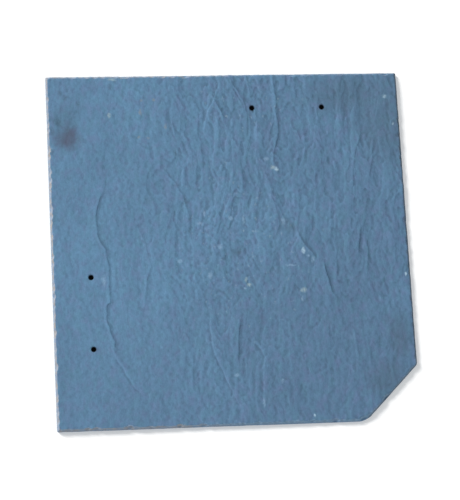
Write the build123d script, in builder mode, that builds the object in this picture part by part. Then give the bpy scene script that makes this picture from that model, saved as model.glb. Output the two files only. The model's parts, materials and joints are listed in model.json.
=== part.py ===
from build123d import *
import os

# A square slate roof tile, split by hand along its cleavage and trimmed to a template.
# It lies face up: the bed is the plane z = 0, +X and +Y run along its sides, and the origin is
# the middle of the bed. One lower corner is clipped off at 45 degrees, and two pairs of nail
# holes stand beside the two edges that meet at the opposite corner.
# All sizes are in millimetres.

# The blank
side = 300.0
thickness = 5.0
corner_radius = 1.2

# The clipped corner, which meets the lower edge in a soft bend and the right edge in a crisp one
clip_leg = 46.0
clip_lower_radius = 15.0
clip_right_radius = 3.0

# The dressed edge: the knife leaves the bed square and flakes a bevel off the face
bevel_width = 2.4
bevel_drop = 2.0

# The leaves of the face, from the thick left margin down to the thin right side
left_face = thickness
middle_face = 4.65
right_face = 4.30

# The broken rim of each leaf, followed from the upper edge to the lower one.
# The first and last points lie just outside the blank.
left_rim = [
    (-96, 155), (-101, 116), (-105, 80), (-106, 49), (-111.5, 26), (-106, 2), (-102.5, -26),
    (-106.5, -56), (-101, -79), (-93, -102), (-78, -124), (-66, -155),
]
right_rim = [
    (42, 155), (44, 121), (43, 94), (39, 72), (44, 40), (57, 9), (70, -10), (78, -27),
    (83, -62), (83, -98), (88, -128), (90, -155),
]

# The nail holes: a pair along the upper edge and a pair along the left edge, both measured
# from the upper left corner, with the shallow funnel that the punch breaks out of the face
nail_hole_radius = 2.0
nail_funnel_radius = 2.8
nail_funnel_angle = 110.0
upper_inset = 30.0
left_inset = 32.0
nail_near = 173.5
nail_far = 233.5

os.makedirs("parts", exist_ok=True)

half = side / 2
outside = half + 5.0
upper_holes = [(nail_near - half, half - upper_inset), (nail_far - half, half - upper_inset)]
left_holes = [(left_inset - half, half - nail_near), (left_inset - half, half - nail_far)]


def right_of(rim):
    """The corners that close a sketch on the right-hand side of a rim, from its end to its start."""
    return [rim[-1], (outside, rim[-1][1]), (outside, rim[0][1]), rim[0]]


with BuildPart() as slate_tile:
    # The blank, trimmed square, with its lower right corner clipped
    with BuildSketch() as blank:
        with BuildLine():
            Polyline(
                (-half, -half),
                (half - clip_leg, -half),
                (half, -half + clip_leg),
                (half, half),
                (-half, half),
                close=True,
            )
        make_face()
        clip_lower = blank.vertices().group_by(Axis.Y)[0].sort_by(Axis.X)[-1]
        clip_right = blank.vertices().group_by(Axis.X)[-1].sort_by(Axis.Y)[0]
        fillet(clip_lower, clip_lower_radius)
        fillet(clip_right, clip_right_radius)
    extrude(amount=thickness)

    # The dressed bevel, all the way round the face
    face = slate_tile.faces().sort_by(Axis.Z)[-1]
    chamfer(face.edges(), length=bevel_width, length2=bevel_drop, reference=face)

    # The square corners, rubbed a little round
    with BuildSketch():
        RectangleRounded(side, side, corner_radius)
    extrude(amount=thickness, mode=Mode.INTERSECT)

    # The middle leaf: the one above it has split away to the right of the left rim
    with BuildSketch(Plane.XY.offset(middle_face)):
        with BuildLine():
            Spline(*left_rim)
            Polyline(*right_of(left_rim))
        make_face()
    extrude(amount=thickness, mode=Mode.SUBTRACT)

    # The right leaf, one split lower again
    with BuildSketch(Plane.XY.offset(right_face)):
        with BuildLine():
            Spline(*right_rim)
            Polyline(*right_of(right_rim))
        make_face()
    extrude(amount=thickness, mode=Mode.SUBTRACT)

    # The nail holes, each opened at the height of the leaf that it stands in
    hole_mouths = [
        (*left_holes[0], left_face),
        (*left_holes[1], left_face),
        (*upper_holes[0], middle_face),
        (*upper_holes[1], right_face),
    ]
    with Locations(*hole_mouths):
        CounterSinkHole(
            radius=nail_hole_radius,
            counter_sink_radius=nail_funnel_radius,
            counter_sink_angle=nail_funnel_angle,
        )

slate_tile.part.label = "slate_tile"
export_step(slate_tile.part, "parts/slate_tile.step")

box = slate_tile.part.bounding_box().size
print(f"slate tile {box.X:.1f} x {box.Y:.1f} x {box.Z:.1f} mm")
print(f"volume {slate_tile.part.volume / 1000:.1f} cm3")
for x, y, z in hole_mouths:
    print(f"nail hole at ({x:.1f}, {y:.1f}), mouth at z = {z:.2f}")
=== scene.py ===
# %% [markdown]
# # A riven slate roof tile
# Roofing slate is split by hand from a block, so its face is not sawn but torn along the
# cleavage: thin leaves of stone end in broken rims, and fine ripples run down the grain. The
# outline is then cut with a knife or a guillotine, which flakes a rough bevel off the edge, and
# the nail holes are punched from the back. This notebook builds one such tile, face up on a
# white floor: first the camera and the light, then the stone's shape, then its colour.

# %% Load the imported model
import json
import math

import bmesh
import bpy
import numpy as np
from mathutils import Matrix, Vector


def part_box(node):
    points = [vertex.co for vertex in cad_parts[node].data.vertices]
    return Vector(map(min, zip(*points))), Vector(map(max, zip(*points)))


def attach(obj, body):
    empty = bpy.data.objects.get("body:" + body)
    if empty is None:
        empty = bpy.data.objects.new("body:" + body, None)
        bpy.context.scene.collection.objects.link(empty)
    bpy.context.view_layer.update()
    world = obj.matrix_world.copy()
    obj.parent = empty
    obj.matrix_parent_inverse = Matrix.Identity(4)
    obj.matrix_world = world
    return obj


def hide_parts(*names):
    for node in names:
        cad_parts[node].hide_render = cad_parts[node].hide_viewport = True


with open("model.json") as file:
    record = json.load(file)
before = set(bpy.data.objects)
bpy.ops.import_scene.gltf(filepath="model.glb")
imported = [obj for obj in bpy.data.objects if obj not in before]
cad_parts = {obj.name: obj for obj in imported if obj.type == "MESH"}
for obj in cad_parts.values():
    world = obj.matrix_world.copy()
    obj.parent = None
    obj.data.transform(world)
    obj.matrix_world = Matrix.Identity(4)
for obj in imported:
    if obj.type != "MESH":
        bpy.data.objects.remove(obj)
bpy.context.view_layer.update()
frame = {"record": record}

MM = 0.001
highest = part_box("slate_tile")[1]
half_side = highest.x
thickness = highest.z
print(f"the blank is {2 * half_side / MM:.0f} mm square and {thickness / MM:.1f} mm thick")

# %% [markdown]
# ## The camera
# The tile is seen from almost straight above, a little from the lower left. The camera stands
# 1.6 m away, with a long lens that fills the frame with the one tile. A camera is aimed most
# simply with a tracking rotation, which keeps its head up, and the roll then turns the picture
# until the tile's edges lie as they do in the photograph.

# %% Place the camera
camera_place = Vector((-0.2136, -0.3707, 1.5887))
camera_aim = Vector((-0.0015, -0.0026, 0.0025))
camera_roll = math.radians(27.7)

lens = bpy.data.cameras.new("camera")
lens.lens = 142.0
lens.clip_start = 0.05
lens.clip_end = 20.0
camera = bpy.data.objects.new("camera", lens)
bpy.context.scene.collection.objects.link(camera)
bpy.context.scene.camera = camera
camera.location = camera_place
camera.rotation_euler = (camera_aim - camera_place).to_track_quat("-Z", "Y").to_euler()
camera.rotation_euler.rotate_axis("Z", camera_roll)
print(f"the camera stands {(camera_place - camera_aim).length:.2f} m from the tile")

# %% [markdown]
# ## The floor and the light
# The floor is a plain white sheet, so nothing competes with the stone. A riven face only shows
# its ripples when the light grazes it, so the main light comes in low from the upper left, as in
# the photograph, and gives more than half of all the light. An area lamp near the tile would
# leave one side of the floor darker, so it is a sun lamp, whose wide angle still keeps the
# shadows soft. A weak lamp on the other side and a pale sky fill in the rest. No lamp stands
# overhead, where it would shine down into the nail holes. The floor lies a hair under the tile,
# because two faces at the same height flicker where they meet.

# %% Lay the floor
floor_gap = 0.2 * MM
bpy.ops.object.select_all(action="DESELECT")
bpy.ops.mesh.primitive_plane_add(size=6.0, location=(0, 0, -floor_gap))
floor = bpy.context.active_object
floor.name = "floor"
print(f"the floor is {floor.dimensions.x:.0f} m wide")


# %% Hang the lamps
def hang_lamp(kind, name, place, energy, colour):
    """A lamp that shines at the middle of the tile."""
    light = bpy.data.lights.new(name, kind)
    light.energy = energy
    light.color = colour
    lamp = bpy.data.objects.new(name, light)
    bpy.context.scene.collection.objects.link(lamp)
    lamp.location = place
    lamp.rotation_euler = (-Vector(place)).to_track_quat("-Z", "Y").to_euler()
    height = math.degrees(math.asin(place[2] / Vector(place).length))
    print(f"{name}: {height:.0f} degrees above the floor")
    return light


main_light = hang_lamp("SUN", "upper left sun", (-3.2, 2.5, 2.15), 4.45, (1.0, 0.985, 0.96))
main_light.angle = math.radians(24)
fill_light = hang_lamp("AREA", "lower right lamp", (1.5, -2.1, 2.0), 30, (0.95, 0.98, 1.0))
fill_light.size = 1.6
sky = bpy.data.worlds.new("sky")
bpy.context.scene.world = sky
sky.use_nodes = True
sky.node_tree.nodes["Background"].inputs["Color"].default_value = (0.92, 0.96, 1.0, 1)
sky.node_tree.nodes["Background"].inputs["Strength"].default_value = 0.33
bpy.context.scene.view_settings.view_transform = "Standard"

# %% [markdown]
# ## The blank
# The blank is a flat block cut to a template. It could be a drawn outline that is filled and
# extruded, but a cube at the right size needs less work: bevelling one upright edge cuts the
# corner off, bevelling the two edges that this leaves rounds the ends of the cut, and insetting
# the top and pushing its rim down gives the sloping edge that the knife leaves.


# %% Helpers for edit mode
def edit(piece):
    bpy.ops.object.select_all(action="DESELECT")
    bpy.context.view_layer.objects.active = piece
    piece.select_set(True)
    bpy.ops.object.mode_set(mode="EDIT")


def leave():
    bpy.ops.object.mode_set(mode="OBJECT")


def pick(piece, kind, wanted):
    """Selects the vertices, edges or faces whose middle passes the test."""
    bpy.ops.mesh.select_mode(type=kind)
    bpy.ops.mesh.select_all(action="DESELECT")
    cage = bmesh.from_edit_mesh(piece.data)
    found = 0
    for part in {"VERT": cage.verts, "EDGE": cage.edges, "FACE": cage.faces}[kind]:
        if kind == "FACE":
            middle, reach = part.calc_center_median(), part.normal
        elif kind == "EDGE":
            middle = (part.verts[0].co + part.verts[1].co) / 2
            reach = part.verts[1].co - part.verts[0].co
        else:
            middle, reach = part.co, None
        if wanted(middle, reach):
            part.select_set(True)
            found += 1
    cage.select_flush_mode()
    bmesh.update_edit_mesh(piece.data)
    return found


def apply_modifier(piece, kind, **settings):
    """Adds a modifier with these settings and applies it at once."""
    bpy.ops.object.select_all(action="DESELECT")
    bpy.context.view_layer.objects.active = piece
    piece.select_set(True)
    modifier = piece.modifiers.new(kind.lower(), kind)
    for name, value in settings.items():
        setattr(modifier, name, value)
    bpy.ops.object.modifier_apply(modifier=modifier.name)


# %% Cut the blank
clip_leg = 46 * MM
lower_bend = 15 * MM
right_bend = 3 * MM
bend_setback = math.tan(math.radians(22.5))
knife_width = 1.5 * MM
knife_drop = 1.3 * MM


def upright(reach):
    return abs(reach.z) > 0.9 * thickness


bpy.ops.object.select_all(action="DESELECT")
bpy.ops.mesh.primitive_cube_add(
    size=1, location=(0, 0, thickness / 2), scale=(2 * half_side, 2 * half_side, thickness)
)
slate = bpy.context.active_object
slate.name = "riven_slate"
bpy.ops.object.transform_apply(location=True, rotation=True, scale=True)

edit(slate)
pick(slate, "EDGE", lambda m, r: upright(r) and m.x > 0 and m.y < 0)
bpy.ops.mesh.bevel(offset=clip_leg, segments=1, affect="EDGES")
pick(slate, "EDGE", lambda m, r: upright(r) and 0 < m.x < half_side - MM and m.y < 0)
bpy.ops.mesh.bevel(offset=lower_bend * bend_setback, segments=6, affect="EDGES")
pick(slate, "EDGE", lambda m, r: upright(r) and m.x > half_side - MM and m.y < 0)
bpy.ops.mesh.bevel(offset=right_bend * bend_setback, segments=2, affect="EDGES")
pick(slate, "FACE", lambda m, r: r.z > 0.9)
bpy.ops.mesh.inset(thickness=knife_width, depth=0)

# the outer ring of the top, which the inset has left behind
halfway = 0.5 * knife_width
pick(
    slate,
    "VERT",
    lambda m, r: m.z > 0.9 * thickness
    and (
        max(abs(m.x), abs(m.y)) > half_side - halfway
        or m.x - m.y > 2 * half_side - clip_leg - halfway * math.sqrt(2)
    ),
)
bpy.ops.transform.translate(value=(0, 0, -knife_drop))
leave()
print(f"the blank has {len(slate.data.vertices)} vertices and {len(slate.data.polygons)} faces")

# %% [markdown]
# ## The dressed edge
# A knife doesn't plane the edge, it snaps off one small shell after another, so the bevel of a
# real tile is a row of shallow scars. A bump in the material wouldn't show in the outline, so
# each scar is a bite out of the arris, and a bite is a Boolean with a flattened ball. One ball is
# modelled and copied along the outline, each copy a little larger or smaller, further in or out.
# Neighbouring bites overlap, so they are cut in three turns, each with every third ball.

# %% Walk round the outline
bend_reach = lower_bend * bend_setback
clip_start = Vector((half_side - clip_leg, -half_side, 0))
clip_end = Vector((half_side, -half_side + clip_leg, 0))
clip_way = (clip_end - clip_start).normalized()
corners = [
    Vector((-half_side, -half_side, 0)), clip_start - Vector((bend_reach, 0, 0)),
    clip_start + clip_way * bend_reach, clip_end, Vector((half_side, half_side, 0)),
    Vector((-half_side, half_side, 0)),
]


def walk(spacing):
    """Places along the outline, each with the direction of the edge there."""
    for start, end in zip(corners, corners[1:] + corners[:1]):
        along = (end - start).normalized()
        count = max(1, round((end - start).length / spacing))
        for step in range(count):
            yield start.lerp(end, (step + 0.5) / count), along


# %% Flake the arrises
def flake(piece, height, spacing, sizes, outward, upward, seed):
    """Bites a row of scars out of the arris at that height. Sizes are along, across and up."""
    draw = np.random.default_rng(seed)
    bpy.ops.object.select_all(action="DESELECT")
    bpy.ops.mesh.primitive_ico_sphere_add(subdivisions=3, radius=1)
    ball = bpy.context.active_object
    turns = [[], [], []]
    for number, (place, along) in enumerate(walk(spacing)):
        bite = ball.copy()
        bite.data = ball.data.copy()
        bpy.context.scene.collection.objects.link(bite)
        away = Vector((along.y, -along.x, 0))
        swell = draw.uniform(0.86, 1.16)
        shift = draw.uniform(-0.4, 0.4) * spacing
        place = place + along * shift + away * outward * draw.uniform(0.8, 1.25)
        bite.location = place + Vector((0, 0, height + upward * draw.uniform(0.7, 1.3)))
        bite.scale = [size * swell * draw.uniform(0.85, 1.15) for size in sizes]
        bite.rotation_euler = (
            draw.uniform(-0.25, 0.25),
            draw.uniform(-0.2, 0.2),
            math.atan2(along.y, along.x) + draw.uniform(-0.3, 0.3),
        )
        turns[number % 3].append(bite)
    for bites in turns:
        bpy.ops.object.select_all(action="DESELECT")
        for bite in bites:
            bite.select_set(True)
        bpy.context.view_layer.objects.active = bites[0]
        bpy.ops.object.join()
        apply_modifier(
            piece, "BOOLEAN", object=bites[0], operation="DIFFERENCE", solver="MANIFOLD"
        )
        bpy.data.objects.remove(bites[0])
    bpy.data.objects.remove(ball)
    print(f"{number + 1} scars at {height / MM:.1f} mm: {len(piece.data.polygons)} faces")


flake(
    slate, thickness, spacing=4.4 * MM, sizes=(4.2 * MM, 3.2 * MM, 2.6 * MM),
    outward=1.3 * MM, upward=0.7 * MM, seed=11,
)
flake(
    slate, 0, spacing=7.5 * MM, sizes=(3.0 * MM, 1.0 * MM, 0.9 * MM),
    outward=0.55 * MM, upward=-0.45 * MM, seed=12,
)

# %% [markdown]
# ## An even skin
# Relief needs points to move. The flaked blank has a few huge faces and many tiny ones, and a
# voxel Remesh turns it into one even skin of small squares, with the scars still in it.

# %% Remesh
skin_step = 0.62 * MM
apply_modifier(slate, "REMESH", mode="VOXEL", voxel_size=skin_step, adaptivity=0)
print(f"the skin has {len(slate.data.vertices)} vertices")

# %% [markdown]
# ## Noise for the relief
# The riven face is too long a list of small forms to place by hand, so it is grown from smooth
# noise: random heights on a lattice, blended in between. Stretching the lattice down the tile
# gives the grain, and cutting the noise into low terraces gives the thin scales whose rims
# wander down the face, as they do where the stone tears from leaf to leaf.


# %% Smooth noise
def noise(x, y, seed):
    """Smooth random heights from 0 to 1, with one free value for each whole x and y."""
    table = np.random.default_rng(seed).random((256, 256))
    column = np.floor(x).astype(int)
    row = np.floor(y).astype(int)
    u = x - column
    v = y - row
    u = u * u * u * (u * (6 * u - 15) + 10)
    v = v * v * v * (v * (6 * v - 15) + 10)

    def value(i, j):
        return table[i % 256, j % 256]

    near = value(column, row) * (1 - u) + value(column + 1, row) * u
    far = value(column, row + 1) * (1 - u) + value(column + 1, row + 1) * u
    return near * (1 - v) + far * v


def fractal(x, y, seed, octaves=4, gain=0.5):
    """Noise over noise, each layer finer and weaker, from about 0 to 1."""
    # each layer is also shifted and turned a little, so that no two lattices line up
    finer, turn = 1.93, 0.11
    shift_x, shift_y = 17.3, -9.1
    total = 0
    weight = 1
    weights = 0
    for octave in range(octaves):
        total = total + weight * noise(x + shift_x * octave, y + shift_y * octave, seed + octave)
        weights += weight
        weight *= gain
        x, y = finer * x + turn * y, finer * y - turn * x
    return total / weights


def ease(low, high, value):
    """0 below low, 1 above high, and a smooth rise between."""
    share = np.clip((value - low) / (high - low), 0, 1)
    return share * share * (3 - 2 * share)


# %% [markdown]
# ## The relief of the face
# Three things make the face, largest first. The leaves step down from the left margin to the
# right side along two long broken rims. Single scales, whose rims were followed from the
# photograph, stand out beside them. Terraced noise fills in the rest, strongest down the middle.
# The relief could be a bump in the material, but then the tile would look flat from low down, so
# it is in the mesh. Every place and height in these cells is in millimetres.

# %% The leaves
left_face, middle_face, right_face = 5.0, 4.65, 4.30
crisp_width = 0.50
softening = 0.30
lip_reach = 1.6
left_rim = [
    (-97, 155), (-102, 116), (-105.5, 80), (-106, 50), (-108.5, 42), (-112, 30), (-112, 25),
    (-111, 18), (-111, 11), (-107.5, 3), (-105.5, 0), (-104, -10), (-102.5, -19), (-103, -32),
    (-103.5, -45), (-106, -47), (-106.5, -60), (-103, -71), (-100.8, -79), (-100.5, -87),
    (-94.5, -102), (-80.5, -121), (-67.5, -155),
]
right_rim = [
    (42.5, 155), (44.5, 128), (44.5, 114), (45, 104), (44, 92), (40.5, 80), (39.5, 73), (42, 58),
    (47, 33), (56, 10), (69, -10), (76, -19), (80.5, -34), (83, -62), (83, -98), (88, -128),
    (90, -155),
]


def rim_at(rim, y):
    """Where a rim crosses each height y, with a small random waver."""
    across, up = np.array(rim, float).T
    order = np.argsort(up)
    waver = 1.0 * (noise(y / 7.0, 0 * y, 41) - 0.5) + 0.5 * (noise(y / 2.6, 0 * y, 42) - 0.5)
    return np.interp(y, up[order], across[order]) + waver


def leaf_drop(x, y, rim, drop, lip, crisp_from, crisp_to):
    """A leaf's step down to the right: crisp between two heights, and eased away past them."""
    past = np.maximum(np.maximum(crisp_from - y, y - crisp_to), 0)
    width = crisp_width + softening * past
    side = x - rim_at(rim, y)
    raised = lip * np.exp(-np.maximum(-side, 0) / lip_reach) * ease(width, -width, side)
    return drop * ease(-width, width, side) - raised * np.exp(-past / 6)


# %% The single scales
# Each scale is the line of its rim down the tile, a height and a reach. The stone stands up on
# the left of the line, or on its right where the height is negative, and falls away over the
# reach.
rim_ramp = 0.55
scales = [
    # the curved ridge, the wishbone beside it and the short rim above the hole
    ([(3, 153), (8.7, 140.5), (12.5, 134), (15.6, 128), (18, 121), (19, 113), (18, 90)], 0.36, 3.5),
    ([(0, 153), (5.8, 140.5), (9.5, 134), (12.8, 128), (15.8, 121), (17, 113), (17, 100)], 0.32,
     3.5),
    ([(-2, 149), (-5, 139), (-9, 127.5), (-13.5, 119.5), (-17, 111), (-19, 97)], -0.36, 3.5),
    ([(-12.5, 137), (-8, 127.5), (-5, 122), (-2, 115.5), (1, 106)], 0.44, 4),
    ([(18, 154), (21, 143), (22.5, 134), (24, 122)], 0.30, 4),
    # the dark slanting rims right of the middle
    ([(54.5, 16), (57.5, 8.5), (61.5, 0), (67, -5.5), (72.5, -17)], 0.42, 9),
    ([(76.5, -12), (77.5, -20), (79, -27.5), (81, -35), (85, -48)], 0.68, 9),
    # the rims below the middle
    ([(4.5, -54), (3.5, -64), (2.5, -72), (1.5, -80), (0.5, -90), (0.5, -107)], 0.56, 9),
    ([(-22, -42), (-21.5, -70), (-19, -90), (-14, -102), (-10, -113), (-4, -127), (2, -142)],
     -0.34, 5),
    ([(-37, -76), (-36.5, -95), (-38.5, -112), (-37, -130)], 0.22, 6),
    ([(9, -76), (14, -81.5), (20, -88), (22, -94), (21, -106), (19.5, -120), (19, -142)], -0.34, 6),
    # the long slanting hollow left of the middle
    ([(-58, 73), (-50, 62), (-44, 54), (-38, 42), (-34, 26), (-34, 8)], 0.24, 8),
    # short rims over the middle and the right side
    ([(1, 74), (1.5, 60), (0, 42), (-6, 27), (-14, 13)], -0.26, 6),
    ([(59, 52), (59.5, 38), (58, 26), (56, 14)], 0.24, 5),
    ([(66, 110), (67, 97), (67.5, 84), (65.5, 70)], 0.26, 4),
    ([(88, 42), (85.5, 27), (85, 12), (83, 0)], 0.22, 5),
    ([(89, 4), (88, -10), (87.5, -22), (86, -36)], 0.30, 5),
    ([(98, -70), (101, -86), (100, -104)], 0.26, 5),
    ([(111.5, 20), (109.5, 8), (108, 0), (106.5, -12)], 0.46, 8),
    ([(114.5, 8), (115, -5), (114, -18), (112.5, -32)], 0.34, 6),
    ([(118, 106), (114.5, 92), (110.5, 81), (108, 70), (107, 58), (107, 40)], 0.36, 7),
    ([(127.5, 98), (125.5, 84), (124.5, 74), (121.5, 62), (120, 48)], 0.32, 5),
    # short rims over the left side
    ([(-105, -82), (-100.5, -91), (-95.5, -99), (-91, -108), (-84.5, -118), (-75, -125)], -0.20, 4),
    ([(-78, 20), (-72, 4), (-70, -14)], 0.14, 5),
    ([(-67, -12), (-72, -26), (-73, -38), (-75, -54)], 0.24, 5),
]


def scale_height(x, y, line, height, reach):
    """How far the stone stands up beside the line."""
    x = x + 0.9 * (noise(x / 5, y / 5, 43) - 0.5)
    points = np.array(line, float)
    lengths = np.hypot(*np.diff(points, axis=0).T)
    nearest = np.full_like(x, np.inf)
    side = np.zeros_like(x)
    share = np.zeros_like(x)
    run = 0.0
    for start, end, length in zip(points[:-1], points[1:], lengths):
        along = (end - start) / length
        t = np.clip((x - start[0]) * along[0] + (y - start[1]) * along[1], 0, length)
        dx = x - start[0] - t * along[0]
        dy = y - start[1] - t * along[1]
        gap = np.hypot(dx, dy)
        closer = gap < nearest
        nearest = np.where(closer, gap, nearest)
        side = np.where(closer, along[0] * dy - along[1] * dx, side)
        share = np.where(closer, (run + t) / lengths.sum(), share)
        run += length
    ends = ease(0, 0.28, share) * ease(1, 0.68, share)
    over = np.sign(side) * np.sign(height) * nearest
    return abs(height) * np.exp(-nearest / reach) * ease(rim_ramp, -rim_ramp, over) * ends


# %% The terraces
def bent(x, y):
    """Moves x a little to and fro, so that the grain winds down the tile."""
    return (
        x + 8 * (noise(x / 40, y / 60, 51) - 0.5) + 3.4 * (noise(x / 13, y / 26, 52) - 0.5)
        + 1.0 * (noise(x / 4.5, y / 9, 57) - 0.5)
    )


def coarse_grain(x, y):
    return 8 * fractal(bent(x, y) / 15, y / 56, 53, octaves=4, gain=0.52)


def fine_grain(x, y):
    return 9 * fractal(bent(x, y) / 7, y / 27, 63, octaves=3, gain=0.52)


def bed_grain(x, y):
    return 6 * fractal(bent(x, y) / 34, y / 120, 81, octaves=3, gain=0.42)


def terraces(grain, x, y, step):
    """Cuts a smooth grain into flat treads, each a step high, with risers about 1 mm wide."""
    probe = 0.5
    level = grain(x, y)
    steepness = np.hypot(grain(x + probe, y) - level, grain(x, y + probe) - level) / probe
    half_riser = np.clip(0.5 * steepness, 0.02, 0.5)
    tread = np.floor(level)
    return step * (tread + ease(0.5 - half_riser, 0.5 + half_riser, level - tread))


# %% Put the face together
# The face is sunk a little under the leaves' planes, which leaves room for its crests.
sunk = 0.22


def liveliness(x, y):
    """How strong the grain is: weak on the left margin, strongest down the middle and high up."""
    middle = np.exp(-(((x + 2) / 62) ** 2))
    margin = 0.24 + 0.56 * ease(-40, 90, x)
    return (margin + (0.95 - margin) * middle) * (0.62 + 0.45 * ease(-75, 40, y))


def pitting(x, y):
    """How rough the stone is between the rims: roughest in the middle of the tile."""
    return 0.17 + 0.15 * np.exp(-(((x + 8) / 40) ** 2) - ((y + 2) / 38) ** 2)


def face_height(x, y):
    """The height of the riven face over the bed. What is taken off centres each part on 0."""
    fall = leaf_drop(x, y, left_rim, left_face - middle_face, 0.07, -80, 44)
    fall = fall + leaf_drop(x, y, right_rim, middle_face - right_face, 0.14, 74, 152)
    treads = terraces(coarse_grain, x, y, 0.19) - 0.76
    small_treads = terraces(fine_grain, x, y, 0.065) - 0.29
    ripple = fractal(bent(x, y) / 4.2, y / 13, 61, octaves=3, gain=0.6) - 0.5
    rough = fractal(x / 2.6, y / 3.2, 71, octaves=3, gain=0.6) - 0.5
    stands = sum(scale_height(x, y, *scale) for scale in scales)
    grain = liveliness(x, y) * (treads + small_treads + 0.24 * ripple)
    relief = grain + pitting(x, y) * rough + stands
    return left_face - fall - sunk + relief


# %% [markdown]
# ## The stone's own relief on the mesh
# A Displace modifier could move the skin, but the textures that it takes have no such rims. So
# every point is read out, moved and written back at once. The side walls come first: their
# points are pushed in along ledges, as the ends of the leaves show there. Then the face goes down
# to its own height, the bed comes up a little, and the walls between them are squeezed.


# %% Split the side walls
def coordinates(piece):
    places = np.empty(len(piece.data.vertices) * 3)
    piece.data.vertices.foreach_get("co", places)
    return places.reshape(-1, 3)


def directions(piece):
    normals = np.empty(len(piece.data.vertices) * 3)
    piece.data.vertices.foreach_get("normal", normals)
    return normals.reshape(-1, 3)


full = thickness / MM
points = coordinates(slate) / MM
normals = directions(slate)
x, y, z = points.T
steep = ease(0.75, 0.95, np.hypot(normals[:, 0], normals[:, 1]))
ledge_length, ledge_height, ledge_depth = 11, 0.95, 0.75
ledges = fractal((x + y) / ledge_length, z / ledge_height, 95, octaves=3, gain=0.6)
inward = ledge_depth * steep * np.maximum(ledges - 0.38, 0)
points[:, :2] -= normals[:, :2] * inward[:, None]
print(f"the side walls are split up to {inward.max():.2f} mm deep")

# %% Move the skin
x, y, z = points.T
above = ease(0.35 * full, 0.72 * full, z)
upper = above > 0
lowered = np.zeros_like(z)
lowered[upper] = full - face_height(x[upper], y[upper])
bed = terraces(bed_grain, x, y, 0.15) + 0.05 * fractal(x / 5, y / 9, 91, octaves=2)
raised = np.clip(bed - 0.17, 0, 0.6)
below = ease(0.5 * full, 0.2 * full, z)
points[:, 2] = z - above * lowered + below * raised
points[:, 2] = np.clip(points[:, 2], 0, full)
slate.data.vertices.foreach_set("co", (points * MM).ravel())
slate.data.update()
seen = lowered[z > 0.9 * full]
print(f"the face lies {seen.min():.2f} to {seen.max():.2f} mm under the template")

# %% Thin the skin out
budget = 190000
triangles = sum(len(face.vertices) - 2 for face in slate.data.polygons)
apply_modifier(
    slate, "DECIMATE", ratio=min(1, budget / triangles), use_collapse_triangulate=True
)
print(f"{triangles} triangles thinned to {len(slate.data.polygons)}")

# %% [markdown]
# ## The nail holes
# A punch driven from the back leaves a clean hole and breaks a shallow funnel out of the face.
# The holes could be cut into the blank, but then the remeshing would fray them. So they are cut
# last, with a cylinder whose top face is extruded and widened into the funnel.

# %% Punch the holes
holes = [mount for mount in frame["record"]["mounts"] if mount["kind"] == "bore"]
funnel_depth = 0.56 * MM
funnel_radius = 2.8 * MM
for hole in holes:
    radius = hole["dims"]["r_mm"] * MM
    wall = hole["dims"]["length_mm"] * MM
    bpy.ops.object.select_all(action="DESELECT")
    bpy.ops.mesh.primitive_cylinder_add(
        vertices=40, radius=radius, depth=wall + MM,
        location=(hole["pos_m"][0], hole["pos_m"][1], (wall - MM) / 2),
    )
    punch = bpy.context.active_object
    bpy.ops.object.transform_apply(location=True, rotation=True, scale=True)
    edit(punch)
    pick(punch, "FACE", lambda m, r: r.z > 0.9)
    bpy.ops.mesh.extrude_region_move(
        TRANSFORM_OT_translate={"value": (0, 0, 2 * funnel_depth)}
    )
    widen = 1 + 2 * (funnel_radius / radius - 1)
    bpy.ops.transform.resize(value=(widen, widen, 1))
    leave()
    apply_modifier(slate, "BOOLEAN", object=punch, operation="DIFFERENCE", solver="MANIFOLD")
    bpy.data.objects.remove(punch)
print(f"{len(holes)} holes punched, {len(slate.data.polygons)} faces in all")

# %% Smooth the shading
bpy.ops.object.select_all(action="DESELECT")
slate.select_set(True)
bpy.context.view_layer.objects.active = slate
bpy.ops.object.shade_smooth_by_angle(angle=math.radians(38))

# %% [markdown]
# ## What the colour needs to know
# Freshly broken stone is paler than the face that has lain in the block. In the photograph the
# dressed edge is pale and warm on the left side and fainter on the upper one, which is partly
# the fresh break and partly painted light on the sides that face the lamp. On the lower side and
# the clip it is dusty, and a thin dark rim of painted shade runs round the right side and the
# clip, which face away from the light. The crests of the ripples get a painted highlight and the
# hollows painted shade, which bring out the relief, and the nail holes are painted near black as
# painted shade. All of that is stored on the mesh as attributes, because a pattern on the place
# alone couldn't follow the shape.

# %% Mark the dressed edge
points = coordinates(slate) / MM
x, y, z = points.T
slopes = directions(slate)
half = half_side / MM
to_left, to_right = half + x, half - x
to_lower, to_upper = half + y, half - y
to_clip = (2 * half - clip_leg / MM - (x - y)) / math.sqrt(2)
to_edge = np.minimum.reduce([to_left, to_right, to_lower, to_upper, to_clip])
dressed = ease(0.97, 0.86, slopes[:, 2]) * ease(6.5, 4.5, to_edge)


def near(distance):
    """1 up to 3 mm from an edge, and 0 from 7 mm on."""
    return ease(7, 3, distance)


def mark_mesh(name, values):
    """Stores one number for each point of the tile under that name."""
    attribute = slate.data.attributes.new(name, "FLOAT", "POINT")
    attribute.data.foreach_set("value", values.astype(np.float32))


mark_mesh("dressed", dressed)
print(f"{100 * (dressed > 0.5).mean():.1f} percent of the points are dressed edge")

# %% Mark the pale, the dusty and the dark edges
# the edge is pale partly from the fresh break and partly as painted light: strongest on the left
# side, which faces the lamp, and on the left parts of the lower and upper sides, least on the
# right, and less on the steep walls
pale = 0.15 + np.maximum.reduce([
    0.85 * near(to_left),
    0.70 * near(to_lower) * ease(10, -60, x),
    0.55 * near(to_upper) * ease(30, -40, x),
])
mark_mesh("pale", pale * (0.3 + 0.7 * ease(0.05, 0.4, slopes[:, 2])))
dusty = np.maximum(near(to_lower), near(to_clip))
mark_mesh("dusty", dusty * ease(0.3, 0.6, slopes[:, 2]))
# a dark rim of painted shade round the right side and the clip, which face away from the light
rim_shade = ease(1.7, 0.7, np.minimum(to_right, to_clip))
mark_mesh("rim_shade", rim_shade)
print(f"{100 * (rim_shade > 0.5).mean():.1f} percent of the points are dark edge")

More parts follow.
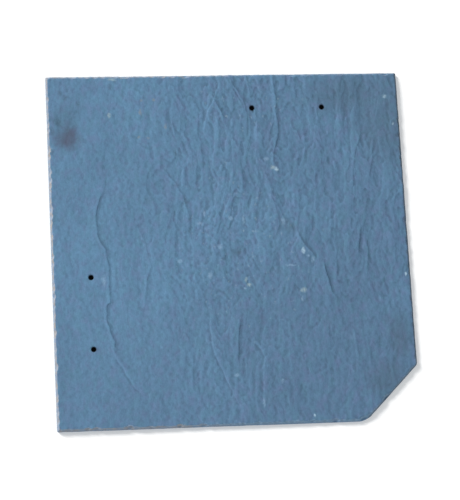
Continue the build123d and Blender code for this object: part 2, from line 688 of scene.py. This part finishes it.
# %% Mark the crests and hollows
reach = 2.4
full_mark = 0.16
on_face = (z > 0.6 * full) & (slopes[:, 2] > 0)
fx, fy = x[on_face], y[on_face]
around = [(reach, 0), (-reach, 0), (0, reach), (0, -reach)]
level = sum(face_height(fx + dx, fy + dy) for dx, dy in around) / len(around)
crest = np.zeros_like(z)
crest[on_face] = np.clip((face_height(fx, fy) - level) / full_mark, -1, 1)
# crests get a painted highlight at about a third of the strength, hollows get painted shade
painted_relief_shading = np.where(crest > 0, 0.35 * crest, crest)
mark_mesh("crest", 0.5 + 0.5 * painted_relief_shading)
print(f"{(crest > 0.5).sum()} points are crests and {(crest < -0.5).sum()} are hollows")

# %% Mark the holes
to_hole = np.minimum.reduce([
    np.hypot(x - hole["pos_m"][0] / MM, y - hole["pos_m"][1] / MM) for hole in holes
])
bore = holes[0]["dims"]["r_mm"]
# the bores' walls are marked for painted shade, so that the holes read black
mark_mesh("hole_shade", ease(bore + 0.7, bore + 0.1, to_hole))
print(f"{(to_hole < bore + 0.1).sum()} points line the holes")

# %% [markdown]
# ## Short names for shader nodes
# A material is a net of nodes. It could be wired by hand in the shader editor, but a stone with
# more than sixty flecks and stains is easier to read as sums. So each kind of node gets a short
# name here, which adds it, plugs its inputs in and hands back its output.


# %% Helpers for nodes
class Recipe:
    """A material's nodes, with short names for what the stone and the floor need."""

    def __init__(self, name):
        self.material = bpy.data.materials.new(name)
        self.material.use_nodes = True
        self.tree = self.material.node_tree
        self.shader = self.tree.nodes["Principled BSDF"]

    def node(self, kind, inputs=(), **settings):
        node = self.tree.nodes.new(kind)
        for name, value in settings.items():
            setattr(node, name, value)
        for key, value in dict(inputs).items():
            if isinstance(value, bpy.types.NodeSocket):
                self.tree.links.new(value, node.inputs[key])
            else:
                node.inputs[key].default_value = value
        return node

    def sums(self, operation, a, b=0.0, clamp=False):
        return self.node(
            "ShaderNodeMath", {0: a, 1: b}, operation=operation, use_clamp=clamp
        ).outputs[0]

    def vector(self, operation, a, b=(0, 0, 0), out="Vector"):
        return self.node(
            "ShaderNodeVectorMath", {0: a, 1: b}, operation=operation
        ).outputs[out]

    def spread(self, value, low, high, to_low=0.0, to_high=1.0):
        """Carries low..high over to to_low..to_high, with soft ends."""
        return self.node(
            "ShaderNodeMapRange",
            {"Value": value, "From Min": low, "From Max": high, "To Min": to_low,
             "To Max": to_high},
            interpolation_type="SMOOTHSTEP",
        ).outputs["Result"]

    def noise(self, place, grain, detail=4.0, rough=0.55, out=0):
        """Noise whose blobs are about grain = (x, y, z) millimetres large."""
        return self.node(
            "ShaderNodeTexNoise",
            {"Vector": self.vector("DIVIDE", place, grain), "Scale": 1.0,
             "Detail": detail, "Roughness": rough},
        ).outputs[out]

    def loosen(self, place, grain, distance):
        """The place, moved to and fro by up to about the distance."""
        drift = self.vector("SUBTRACT", self.noise(place, grain, detail=2, out=1), (0.5,) * 3)
        return self.vector("ADD", place, self.vector("MULTIPLY", drift, (4 * distance,) * 3))

    def mark(self, name):
        return self.node("ShaderNodeAttribute", attribute_name=name).outputs["Fac"]

    def mix(self, share, base, over):
        node = self.node("ShaderNodeMix", data_type="RGBA")
        for socket, value in ((0, share), (6, base), (7, over)):
            if isinstance(value, bpy.types.NodeSocket):
                self.tree.links.new(value, node.inputs[socket])
            else:
                node.inputs[socket].default_value = value
        return node.outputs[2]

    def tone(self, colour, pattern, amount, low=0.3, high=0.7):
        """Makes the colour lighter or darker by the amount, as the pattern goes up or down."""
        strength = self.spread(pattern, low, high, 1 - amount, 1 + amount)
        return self.node(
            "ShaderNodeVectorMath", {0: colour, "Scale": strength}, operation="SCALE"
        ).outputs["Vector"]


def srgb(red, green, blue):
    """A colour read off a screen, from 0 to 255, as the light that the shader mixes."""
    linear = []
    for part in (red, green, blue):
        part = part / 255
        linear.append(part / 12.92 if part <= 0.04045 else ((part + 0.055) / 1.055) ** 2.4)
    return (*linear, 1.0)


# %% [markdown]
# ## The floor's paint
# On a white floor the stone's shadow would be a dark band beside two of its edges, and the
# photograph has hardly any. A stronger lamp on that side would lift the shadow, but it would
# flatten the ripples too. So the floor glows a little instead. Under the tile it is dark, and
# nothing shows of that but the bottoms of the nail holes, which look black as in the photograph.

# %% Paint the floor
dark_inset = 10 * MM
sheet = Recipe("white floor")
sheet.shader.inputs["Roughness"].default_value = 0.85
sheet.shader.inputs["Specular IOR Level"].default_value = 0.2
sheet.shader.inputs["Emission Color"].default_value = (1, 1, 1, 1)
floor_place = sheet.node("ShaderNodeTexCoord").outputs["Object"]
floor_x, floor_y, _ = sheet.node("ShaderNodeSeparateXYZ", {0: floor_place}).outputs
from_middle = sheet.sums(
    "MAXIMUM", sheet.sums("ABSOLUTE", floor_x), sheet.sums("ABSOLUTE", floor_y)
)
past_clip = sheet.sums(
    "SUBTRACT", sheet.sums("SUBTRACT", floor_x, floor_y), half_side - clip_leg
)
in_the_open = sheet.sums(
    "GREATER_THAN", sheet.sums("MAXIMUM", from_middle, past_clip), half_side - dark_inset
)
paint = sheet.mix(in_the_open, (0.02, 0.02, 0.02, 1), (0.86, 0.86, 0.86, 1))
sheet.tree.links.new(paint, sheet.shader.inputs["Base Color"])
glow = sheet.sums("MULTIPLY", in_the_open, 0.2)
sheet.tree.links.new(glow, sheet.shader.inputs["Emission Strength"])
floor.data.materials.append(sheet.material)
print(f"the floor's paint has {len(sheet.tree.nodes)} nodes")

# %% [markdown]
# ## The slate's colour
# Blue-grey slate is nearly one colour, so its look is in small differences: slow patches of
# lighter and greyer stone, a tinge of violet and teal, a mottle along the grain, a powder of
# speckles, pale and cream flecks where something hard sat in the clay, and brown stains from
# iron. A painted texture could hold all of them, but it would blur close up. So each is a noise
# pattern or a soft spot at its own place, mixed over the last. Places are in millimetres, and
# three of them are loosened, so that what is put there gets a winding, ragged or torn outline.

# %% Places on the tile
stone = Recipe("riven slate")
object_place = stone.node("ShaderNodeTexCoord").outputs["Object"]
place = stone.vector("MULTIPLY", object_place, (1 / MM,) * 3)
winding_place = stone.loosen(place, (14, 22, 14), 2.5)
ragged_place = stone.loosen(place, (3, 3, 3), 0.8)
torn_place = stone.loosen(ragged_place, (13, 13, 13), 4.0)

# %% Blue stone and grey stone
blue_stone = srgb(92, 130, 161)
grey_stone = srgb(81, 111, 139)
across, along, above_bed = stone.node("ShaderNodeSeparateXYZ", {0: place}).outputs
upper_side = stone.spread(above_bed, 1.0, 3.0)
patches = stone.noise(place, (75, 95, 40), detail=2)
rightward = stone.spread(across, -130, 140, -0.02, 0.56)
downward = stone.spread(along, 10, -150, 0.0, 0.36)
grey_share = stone.sums("ADD", stone.spread(patches, 0.3, 0.7, 0.02, 0.36), rightward)
grey_share = stone.sums("ADD", grey_share, downward, clamp=True)
colour = stone.mix(grey_share, blue_stone, grey_stone)
print("the stone goes from blue on the left to grey on the lower right")

# %% Tinge and mottle
hues = stone.noise(winding_place, (6, 9, 6), detail=3, rough=0.6, out=1)
violet, teal, _ = stone.node("ShaderNodeSeparateXYZ", {0: hues}).outputs
violet_stone = srgb(100, 110, 148)
teal_stone = srgb(82, 128, 144)
colour = stone.mix(stone.spread(violet, 0.42, 0.70, 0.0, 0.32), colour, violet_stone)
colour = stone.mix(stone.spread(teal, 0.42, 0.70, 0.0, 0.22), colour, teal_stone)
colour = stone.tone(colour, stone.noise(winding_place, (16, 34, 16), detail=3), 0.02)
colour = stone.tone(colour, stone.noise(winding_place, (2.8, 10, 3), detail=3), 0.06)
colour = stone.tone(colour, stone.noise(place, (1.1, 1.6, 1.2), detail=3, rough=0.7), 0.055)
# painted shade in the hollows and a weaker painted highlight on the crests, to bring out the relief
colour = stone.tone(colour, stone.mark("crest"), 0.24, 0.0, 1.0)
print("hollows are up to 24 percent darker than the stone, and crests half as much lighter")


# %% A brush for flecks and stains
def spots(where, marks):
    """A mask that is 1 on each mark of the face: (x, y, half its width, half its length)."""
    any_height = 1000
    mask = None
    for across_mm, up_mm, wide, long in marks:
        off = stone.vector("SUBTRACT", where, (across_mm, up_mm, 0))
        off = stone.vector("DIVIDE", off, (wide, long, any_height))
        mark = stone.spread(stone.vector("LENGTH", off, out="Value"), 1.5, 0.2)
        mask = mark if mask is None else stone.sums("MAXIMUM", mask, mark)
    return stone.sums("MULTIPLY", mask, upper_side)


# %% Flecks, scuffs and specks
white_flecks = [
    (60, -4.6, 1.3, 3.0), (41.3, 66, 1.8, 1.7), (138.6, 128.6, 1.6, 1.6), (146, -27, 1.0, 1.6),
    (144.5, 104.5, 1.0, 1.2), (61, -144, 0.8, 1.4),
]
cream_flecks = [
    (38.5, 67.5, 2.2, 1.8), (58.3, -38.6, 2.4, 2.0), (10.5, -28.6, 1.2, 2.2), (12.7, -33, 2.0, 1.4),
    (-97.7, 115.3, 1.4, 2.2), (-94, 146.6, 3.4, 1.2),
]
pale_flecks = [
    (44.4, 21, 2.2, 3.0), (33, 75, 2.0, 1.8), (67.6, -12.6, 1.5, 2.4), (63.6, -9.4, 1.0, 1.0),
    (48.7, -17.2, 4.2, 1.0), (-26, 20.3, 2.4, 1.5), (-22, 28.8, 1.0, 3.0), (-10, 0, 2.2, 2.4),
    (-19.4, -24.4, 1.9, 2.8), (-43.8, -11.3, 2.0, 1.6), (9.4, -36.3, 1.3, 1.0),
    (10.6, 22.5, 1.0, 4.0), (0.3, 24, 2.0, 1.6), (-1.7, -108.4, 2.2, 1.4), (35.6, -114.4, 1.2, 2.0),
    (57, -46, 1.0, 2.0), (-107.8, -26.7, 1.8, 4.0), (19.4, -132.3, 0.9, 3.6),
]
tan_flecks = [
    (-71.6, 118, 1.2, 2.8), (-50.8, 104.8, 1.4, 2.4), (-59.7, 128.2, 1.3, 1.4),
    (-73.3, 96, 1.5, 1.4), (-65.8, 95.4, 1.4, 1.2), (-70.2, 128, 1.3, 1.1),
]
scuffs = [(25, 97, 2.8, 7.5), (42.3, 130, 2.0, 30), (-100, -20, 2.2, 14)]
dark_specks = [
    (5.6, -5.6, 2.6, 1.8), (-7.5, -10, 1.6, 1.4), (-34.4, 14.4, 1.5, 2.7), (-33.8, 24.4, 1.5, 1.8),
    (-43.8, 54, 1.8, 2.4), (-37, 40, 2.6, 3.2), (-20, 72.5, 1.3, 2.4), (-43.8, 82, 1.4, 2.8),
    (60.5, -46.5, 1.5, 3.8), (38.3, -112.8, 1.5, 1.4), (-134.3, 131, 2.2, 2.8),
    (-138.6, 135.4, 1.8, 2.6), (-123.4, 126, 1.8, 3.0), (-141.5, 110, 3.6, 4.0),
    (-146, 102, 2.4, 4.0), (-146.5, 84, 1.8, 3.0), (-96, 140.3, 2.6, 2.8), (-92, 144.8, 1.4, 1.0),
    (-147, 25, 1.6, 2.8),
]
broken = stone.spread(
    stone.noise(place, (1.2, 1.6, 1), detail=4, rough=0.7), 0.34, 0.56, 0.25, 1.0
)

# a salt of small pale grains over the middle and the upper side
salt = stone.spread(stone.noise(ragged_place, (2.6, 3.6, 2.6), detail=3), 0.62, 0.74)
salt_zone = spots(place, [(8, 0, 70, 80), (20, 120, 50, 30)])
salt_share = stone.sums("MULTIPLY", stone.sums("MULTIPLY", salt, salt_zone), 0.5)
colour = stone.mix(salt_share, colour, srgb(136, 158, 176))

for marks, tint, strength in (
    (scuffs, srgb(112, 152, 188), 0.36),
    (dark_specks, srgb(62, 82, 94), 0.42),
    (pale_flecks, srgb(138, 168, 196), 0.55),
    (tan_flecks, srgb(126, 134, 138), 0.6),
    (cream_flecks, srgb(152, 172, 178), 0.7),
    (white_flecks, srgb(172, 200, 218), 0.8),
):
    share = stone.sums("MULTIPLY", spots(ragged_place, marks), broken)
    colour = stone.mix(stone.sums("MULTIPLY", share, strength), colour, tint)
    print(f"{len(marks)} marks at strength {strength}")

# %% Stains
brown_stains = [(-133.5, 95, 11.5, 11)]
smoky_stains = [(-135, 112, 11, 16), (4, -5, 8, 5), (46, 16, 9, 6)]
grey_veils = [(126, -114, 18, 16), (136, -80, 12, 22), (140, 108, 32, 44), (106, 132, 34, 18)]
for marks, tint, strength in (
    (grey_veils, srgb(68, 86, 100), 0.36),
    (smoky_stains, srgb(58, 78, 86), 0.20),
    (brown_stains, srgb(73, 64, 78), 0.60),
):
    colour = stone.mix(
        stone.sums("MULTIPLY", spots(torn_place, marks), strength), colour, tint
    )
    print(f"{len(marks)} stains at strength {strength}")

# %% The dressed edge's colour
powder = stone.noise(ragged_place, (6, 6, 2), detail=4, rough=0.65)
cool_break = srgb(140, 150, 166)
warm_break = srgb(154, 147, 142)
stone_dust = srgb(128, 162, 190)
dark_rim = srgb(58, 72, 78)
fresh_stone = stone.mix(stone.spread(powder, 0.42, 0.62), cool_break, warm_break)
dust_share = stone.sums("MULTIPLY", stone.mark("dressed"), stone.mark("dusty"))
colour = stone.mix(stone.sums("MULTIPLY", dust_share, 0.5), colour, stone_dust)
# painted shade on the rim of the right side and the clip
dark_share = stone.sums("MULTIPLY", stone.mark("rim_shade"), 0.6)
colour = stone.mix(dark_share, colour, dark_rim)
# the pale edge: fresh break, and painted light on the sides that face the lamp
edge_share = stone.sums("MULTIPLY", stone.mark("dressed"), stone.mark("pale"))
edge_share = stone.sums("MULTIPLY", edge_share, stone.spread(powder, 0.25, 0.5, 0.45, 0.85))
colour = stone.mix(edge_share, colour, fresh_stone)
print("pale breaks, dust and a dark rim are mixed over the dressed edge")

# %% Painted shade in the nail holes
# painted shade: the walls of the holes are made nearly black
hole_shade_colour = srgb(14, 17, 20)
colour = stone.mix(stone.sums("MULTIPLY", stone.mark("hole_shade"), 0.95), colour, hole_shade_colour)

# %% Sheen and fine grain
bump_depth = 0.22 * MM
stone.tree.links.new(colour, stone.shader.inputs["Base Color"])
grit = stone.noise(place, (0.9, 1.3, 0.9), detail=5, rough=0.7)
stone.tree.links.new(
    stone.spread(grit, 0.25, 0.75, 0.80, 0.64), stone.shader.inputs["Roughness"]
)
stone.shader.inputs["Specular IOR Level"].default_value = 0.22
threads = stone.noise(winding_place, (1.9, 8, 2), detail=4, rough=0.6)
layers = stone.noise(ragged_place, (14, 14, 0.35), detail=2)
height = stone.sums("ADD", stone.sums("MULTIPLY", grit, 0.5), threads)
height = stone.sums("ADD", height, stone.sums("MULTIPLY", layers, stone.mark("dressed")))
bump = stone.node("ShaderNodeBump", {"Height": height, "Strength": 0.6, "Distance": bump_depth})
stone.tree.links.new(bump.outputs["Normal"], stone.shader.inputs["Normal"])
slate.data.materials.clear()
slate.data.materials.append(stone.material)
print(f"the slate's material has {len(stone.tree.nodes)} nodes")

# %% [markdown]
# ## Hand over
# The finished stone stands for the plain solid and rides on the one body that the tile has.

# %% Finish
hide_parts("slate_tile")
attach(slate, "root")
